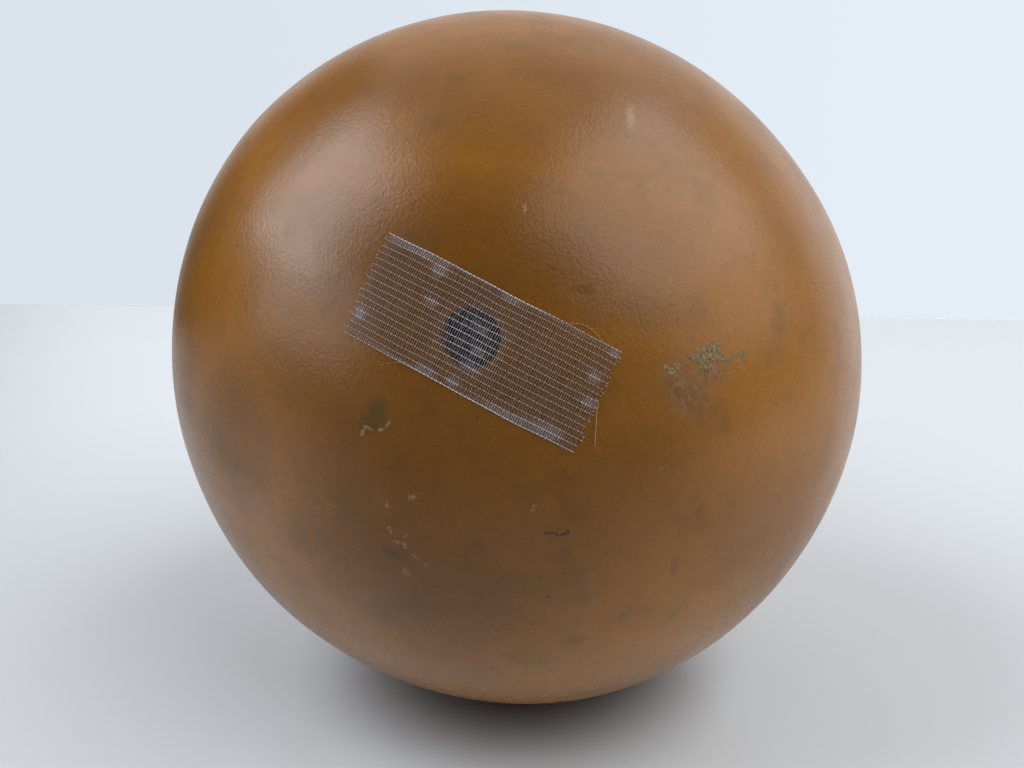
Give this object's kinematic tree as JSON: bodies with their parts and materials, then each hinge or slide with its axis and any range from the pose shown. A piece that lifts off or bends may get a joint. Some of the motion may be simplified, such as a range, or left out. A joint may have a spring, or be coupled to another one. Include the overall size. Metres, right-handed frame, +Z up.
{
  "type": "dried bottle gourd",
  "caption": "Dried bottle gourd lying on its side: a hollow two-bulbed rind with a stalk, and a drilled hole under a strip of woven tape.",
  "frame": {"origin": "on the surface that the gourd lies on, under the middle of its box", "axes": "+Z up, -Y towards the blossom end with the hole, +Y towards the stalk, along the longest side"},
  "size_m": [0.2306, 0.402, 0.2309],
  "materials": {
    "dried_rind": "smooth waxy rind, semi-gloss, faintly mottled",
    "dried_stalk": "dry ridged fibres, matte",
    "woven_tape": "clear film with an open weave of pale yarns",
    "dried_pulp": "dry crumpled fibres, matte"
  },
  "bodies": {
    "root": {"gourd_shell": "dried_rind", "stem": "dried_stalk", "tape": "woven_tape", "dried_pulp": "dried_pulp"}
  },
  "joints": []
}
